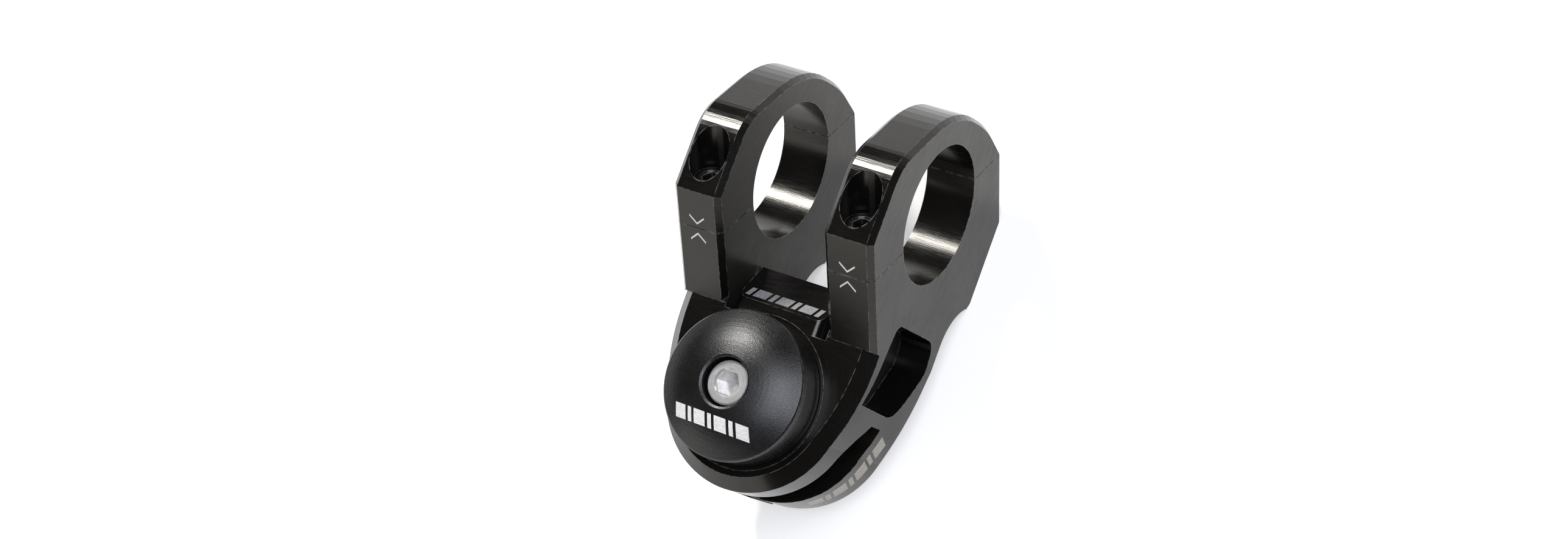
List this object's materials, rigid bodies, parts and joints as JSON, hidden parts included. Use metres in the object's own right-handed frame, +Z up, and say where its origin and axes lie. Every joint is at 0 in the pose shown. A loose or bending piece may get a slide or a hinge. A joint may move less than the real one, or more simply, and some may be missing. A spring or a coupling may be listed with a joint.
{
  "type": "handlebar stem",
  "caption": "Short bicycle handlebar stem with two separate bar caps on a 45 degree split, a two-band steerer clamp and a domed top cap.",
  "frame": {"origin": "steerer axis at the stem's bottom face", "axes": "+Z up the steerer axis, +Y forward to the handlebar, +X along the bar to the rider's right"},
  "size_m": [0.05, 0.0959, 0.06],
  "materials": {
    "anodised_body": "satin black anodised",
    "anodised_caps": "satin black anodised",
    "black_bolts": "black oxide",
    "washers": "satin",
    "spacer": "satin black anodised",
    "top_cap": "bead-blasted black anodised",
    "silver_bolt": "bright stainless",
    "star_nut": "zinc plated"
  },
  "bodies": {
    "stem": {"stem_body": "anodised_body", "headset_spacer": "spacer", "star_nut_barrel": "star_nut", "star_nut_upper_spring": "star_nut", "star_nut_lower_spring": "star_nut"},
    "left_cap": {"left_bar_cap": "anodised_caps", "left_upper_cap_washer": "washers", "left_lower_cap_washer": "washers"},
    "left_upper_bolt": {"left_upper_cap_bolt": "black_bolts"},
    "left_lower_bolt": {"left_lower_cap_bolt": "black_bolts"},
    "right_cap": {"right_bar_cap": "anodised_caps", "right_upper_cap_washer": "washers", "right_lower_cap_washer": "washers"},
    "right_upper_bolt": {"right_upper_cap_bolt": "black_bolts"},
    "right_lower_bolt": {"right_lower_cap_bolt": "black_bolts"},
    "pinch_ring": {"pinch_washer": "washers"},
    "pinch_screw": {"pinch_bolt": "black_bolts"},
    "cap": {"top_cap": "top_cap"},
    "cap_bolt": {"top_cap_bolt": "silver_bolt"}
  },
  "joints": [
    {"name": "left_cap_slide", "type": "slide", "parent": "stem", "child": "left_cap", "axis": [0, 0.7071, 0.7071], "range_m": [0, 0.008]},
    {"name": "left_upper_bolt_turn", "type": "hinge", "parent": "left_cap", "child": "left_upper_bolt", "pos_m": [-0.019, 0.03402, 0.04078], "axis": [0, 0.7071, 0.7071], "range_deg": [0, 3600]},
    {"name": "left_lower_bolt_turn", "type": "hinge", "parent": "left_cap", "child": "left_lower_bolt", "pos_m": [-0.019, 0.06499, 0.00981], "axis": [0, 0.7071, 0.7071], "range_deg": [0, 3600]},
    {"name": "right_cap_slide", "type": "slide", "parent": "stem", "child": "right_cap", "axis": [0, 0.7071, 0.7071], "range_m": [0, 0.008]},
    {"name": "right_upper_bolt_turn", "type": "hinge", "parent": "right_cap", "child": "right_upper_bolt", "pos_m": [0.019, 0.03402, 0.04078], "axis": [0, 0.7071, 0.7071], "range_deg": [0, 3600]},
    {"name": "right_lower_bolt_turn", "type": "hinge", "parent": "right_cap", "child": "right_lower_bolt", "pos_m": [0.019, 0.06499, 0.00981], "axis": [0, 0.7071, 0.7071], "range_deg": [0, 3600]},
    {"name": "pinch_slide", "type": "slide", "parent": "stem", "child": "pinch_ring", "axis": [-1, 0, 0], "range_m": [0, 0.0056]},
    {"name": "pinch_turn", "type": "hinge", "parent": "pinch_ring", "child": "pinch_screw", "pos_m": [-0.0094, -0.0182, 0.0055], "axis": [-1, 0, 0], "range_deg": [0, 2520]},
    {"name": "top_cap_lift", "type": "slide", "parent": "stem", "child": "cap", "axis": [0, 0, 1], "range_m": [0, 0.007]},
    {"name": "top_cap_bolt_turn", "type": "hinge", "parent": "cap", "child": "cap_bolt", "pos_m": [0, 0, 0.0378], "axis": [0, 0, 1], "range_deg": [0, 2520]}
  ],
  "couplings": [
    {"joint": "left_upper_bolt_turn", "follows": "left_cap_slide", "rad_per_m": 7854},
    {"joint": "left_lower_bolt_turn", "follows": "left_cap_slide", "rad_per_m": 7854},
    {"joint": "right_upper_bolt_turn", "follows": "right_cap_slide", "rad_per_m": 7854},
    {"joint": "right_lower_bolt_turn", "follows": "right_cap_slide", "rad_per_m": 7854},
    {"joint": "pinch_turn", "follows": "pinch_slide", "rad_per_m": 7854},
    {"joint": "top_cap_bolt_turn", "follows": "top_cap_lift", "rad_per_m": 6283.2}
  ]
}
